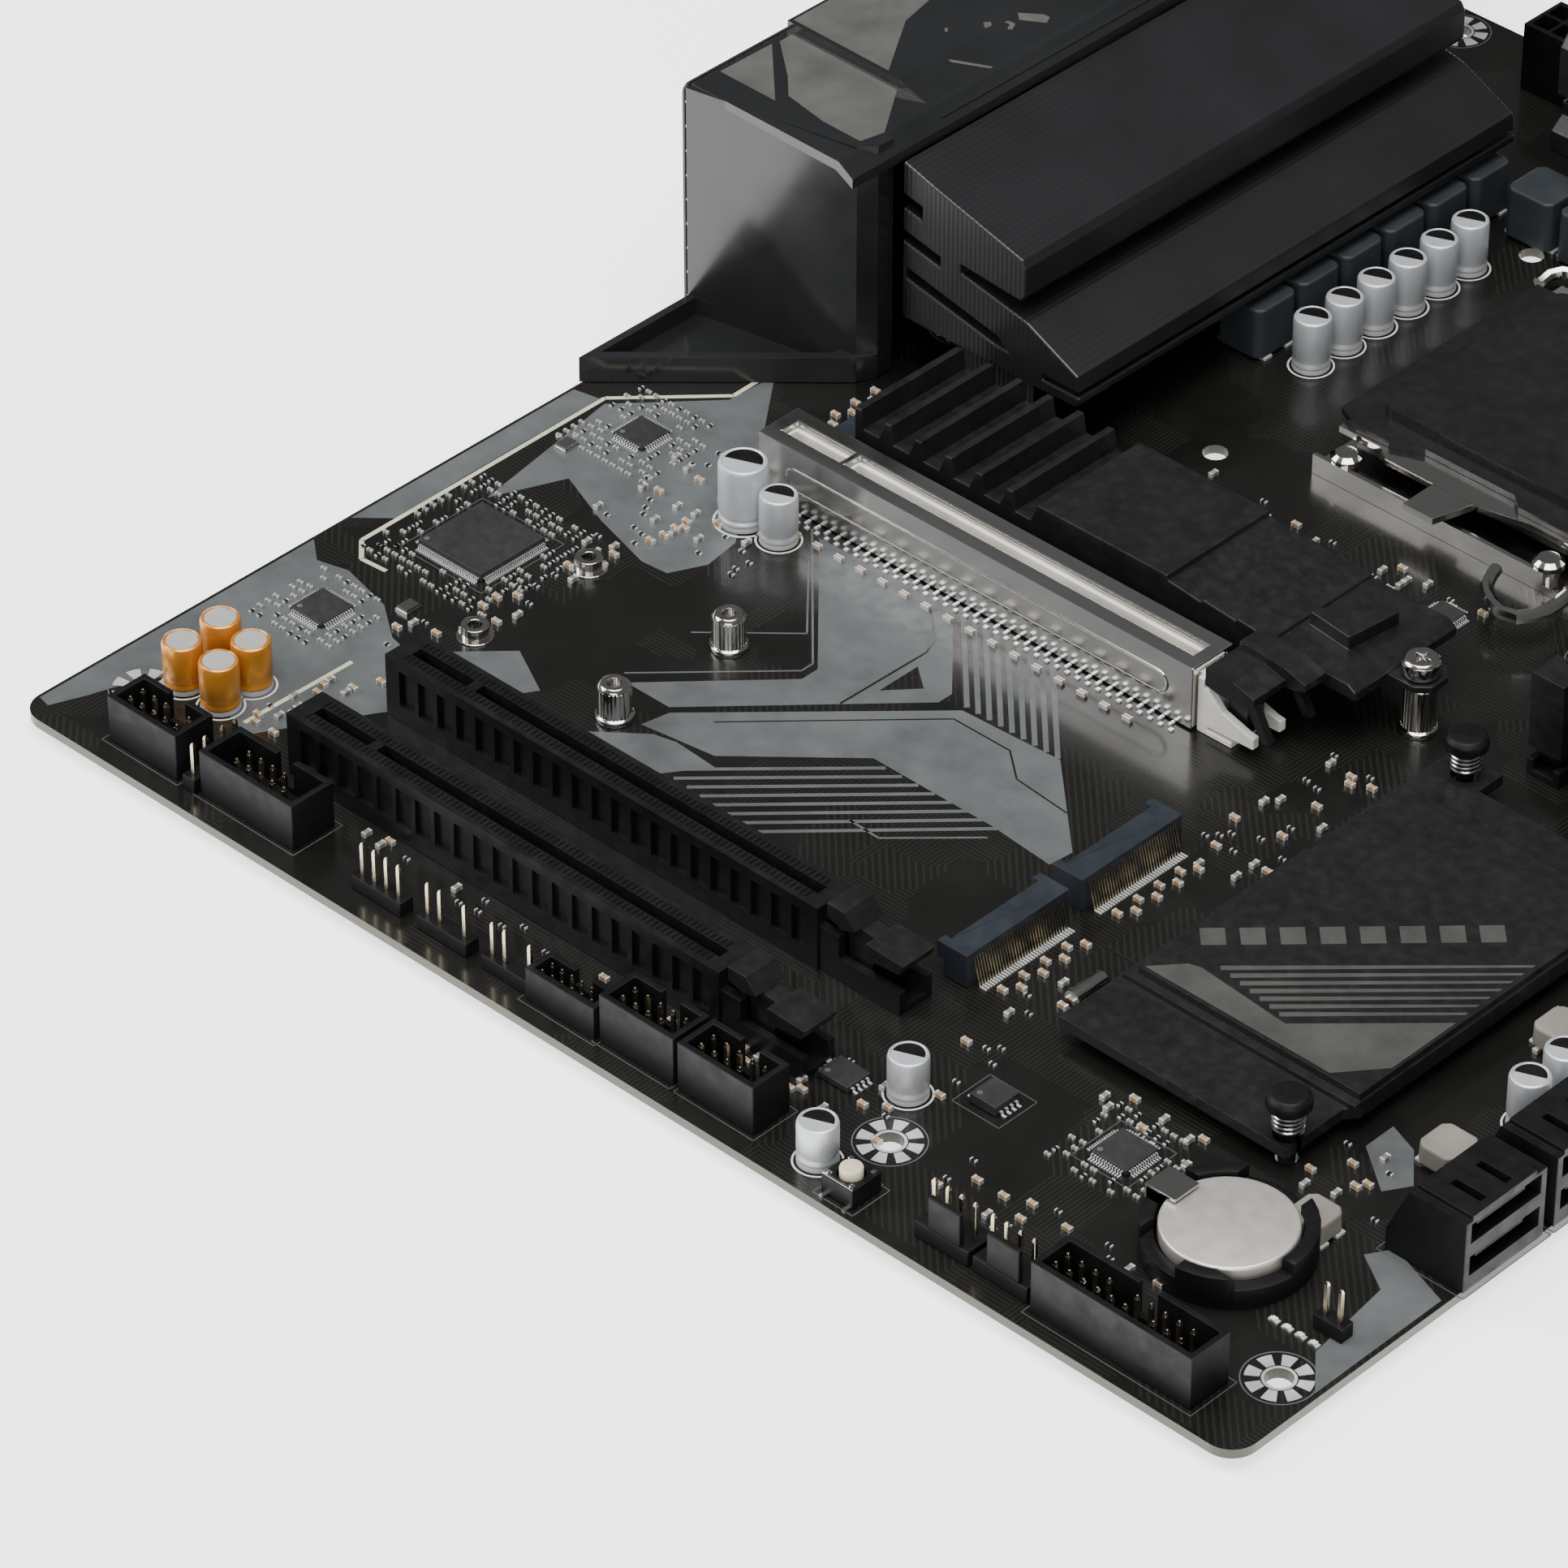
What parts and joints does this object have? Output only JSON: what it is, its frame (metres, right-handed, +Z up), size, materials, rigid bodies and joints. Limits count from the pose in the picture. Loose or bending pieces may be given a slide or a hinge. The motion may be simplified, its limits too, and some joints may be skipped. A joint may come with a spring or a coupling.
{
  "type": "desktop motherboard",
  "caption": "Full-size desktop computer main board with processor socket, memory slots, expansion slots, drive and storage connectors, heatsinks and a rear port block.",
  "frame": {"origin": "centre of the bounding box on the plane of the lowest faces, which are the back of the socket backing plate and the heatsink screw heads", "axes": "+Z up out of the component side, +Y from the bottom edge with the headers to the top edge, +X from the rear edge with the ports to the front edge"},
  "size_m": [0.246, 0.3048, 0.0498],
  "materials": {
    "board": "black-brown solder resist over glass laminate, semi-gloss, grey printed areas and lines",
    "chip": "dark package substrate with a mirror-flat silicon die",
    "anodised_metal": "black anodised aluminium, fine grained, lighter on worn edges",
    "black_plastic": "black glass-filled moulding with a fine matte texture",
    "grey_plastic": "blue-grey moulding, slightly glossy",
    "pale_plastic": "ivory-white moulding",
    "cream_plastic": "cream moulding",
    "cover_plastic": "dark glossy moulding with grey printed areas",
    "polished_steel": "bright tinned steel sheet with folded edges",
    "nickel": "nickel plated steel, satin",
    "cell_steel": "satin stainless steel, slightly warm",
    "shield_metal": "dark coated steel sheet"
  },
  "bodies": {
    "board": {"printed_circuit_board": "board", "chipset": "chip", "chipset_heatsink": "anodised_metal", "slot_2_body": "black_plastic", "slot_3_body": "black_plastic", "graphics_slot_body": "pale_plastic", "graphics_slot_armour": "polished_steel", "storage_socket_1": "grey_plastic", "storage_socket_2": "grey_plastic", "storage_standoff_1": "nickel", "storage_standoff_2": "nickel", "storage_heatsink": "anodised_metal", "heatsink_standoff": "nickel", "heatsink_screw": "nickel", "storage_socket_3": "grey_plastic", "audio_header": "black_plastic", "serial_header": "black_plastic", "usb_header_1": "black_plastic", "usb_header_2": "black_plastic", "front_panel_header": "black_plastic", "service_header": "black_plastic", "button_body": "black_plastic", "battery_holder": "black_plastic", "coin_cell": "cell_steel", "battery_clip": "nickel", "drive_connector_1": "black_plastic", "drive_connector_2": "black_plastic", "socket_body": "grey_plastic", "socket_frame": "nickel", "backplate": "polished_steel", "memory_slot_1": "black_plastic", "memory_slot_2": "black_plastic", "memory_slot_3": "black_plastic", "memory_slot_4": "black_plastic", "vrm_heatsink_rear": "anodised_metal", "vrm_heatsink_top": "anodised_metal", "audio_jack_row": "black_plastic", "network_port_stack": "polished_steel", "usb_port_stack_1": "polished_steel", "usb_port_stack_2": "polished_steel", "video_port_stack": "polished_steel", "io_shield": "shield_metal", "io_cover": "cover_plastic", "main_power_connector": "black_plastic", "processor_power_connector": "black_plastic"},
    "load_lever": {"load_lever": "nickel"},
    "load_plate": {"load_plate": "nickel", "socket_cap": "black_plastic"},
    "memory_latch_1": {"memory_latch_1": "black_plastic"},
    "memory_latch_2": {"memory_latch_2": "black_plastic"},
    "memory_latch_3": {"memory_latch_3": "black_plastic"},
    "memory_latch_4": {"memory_latch_4": "black_plastic"},
    "slot_2_latch": {"slot_2_latch": "black_plastic"},
    "slot_3_latch": {"slot_3_latch": "black_plastic"},
    "graphics_slot_latch": {"graphics_slot_latch": "black_plastic"},
    "button_cap": {"button_cap": "cream_plastic"},
    "push_pin_1": {"push_pin_1": "black_plastic"},
    "push_pin_2": {"push_pin_2": "black_plastic"}
  },
  "joints": [
    {"name": "load_lever_hinge", "type": "hinge", "parent": "board", "child": "load_lever", "pos_m": [0.00378, 0.0978, 0.007], "axis": [-1, 0, 0], "range_deg": [0, 110]},
    {"name": "load_plate_hinge", "type": "hinge", "parent": "board", "child": "load_plate", "pos_m": [0.00378, 0.094, 0.0095], "axis": [-1, 0, 0], "range_deg": [0, 105]},
    {"name": "memory_latch_1_hinge", "type": "hinge", "parent": "board", "child": "memory_latch_1", "pos_m": [0.05658, -0.0041, 0.0068], "axis": [1, 0, 0], "range_deg": [0, 25]},
    {"name": "memory_latch_2_hinge", "type": "hinge", "parent": "board", "child": "memory_latch_2", "pos_m": [0.06598, -0.0041, 0.0068], "axis": [1, 0, 0], "range_deg": [0, 25]},
    {"name": "memory_latch_3_hinge", "type": "hinge", "parent": "board", "child": "memory_latch_3", "pos_m": [0.07538, -0.0041, 0.0068], "axis": [1, 0, 0], "range_deg": [0, 25]},
    {"name": "memory_latch_4_hinge", "type": "hinge", "parent": "board", "child": "memory_latch_4", "pos_m": [0.08478, -0.0041, 0.0068], "axis": [1, 0, 0], "range_deg": [0, 25]},
    {"name": "slot_2_latch_hinge", "type": "hinge", "parent": "board", "child": "slot_2_latch", "pos_m": [0.01628, -0.11128, 0.0068], "axis": [0, 1, 0], "range_deg": [0, 18]},
    {"name": "slot_3_latch_hinge", "type": "hinge", "parent": "board", "child": "slot_3_latch", "pos_m": [0.01628, -0.1316, 0.0068], "axis": [0, 1, 0], "range_deg": [0, 18]},
    {"name": "graphics_slot_latch_hinge", "type": "hinge", "parent": "board", "child": "graphics_slot_latch", "pos_m": [0.01748, -0.03, 0.0068], "axis": [0, 1, 0], "range_deg": [0, 18]},
    {"name": "button_press", "type": "slide", "parent": "board", "child": "button_cap", "axis": [0, 0, 1], "range_m": [-0.00025, 0], "stiffness_N_per_m": 400},
    {"name": "push_pin_1_press", "type": "slide", "parent": "board", "child": "push_pin_1", "axis": [0, 0, 1], "range_m": [-0.0008, 0], "stiffness_N_per_m": 400},
    {"name": "push_pin_2_press", "type": "slide", "parent": "board", "child": "push_pin_2", "axis": [0, 0, 1], "range_m": [-0.0008, 0], "stiffness_N_per_m": 400}
  ]
}
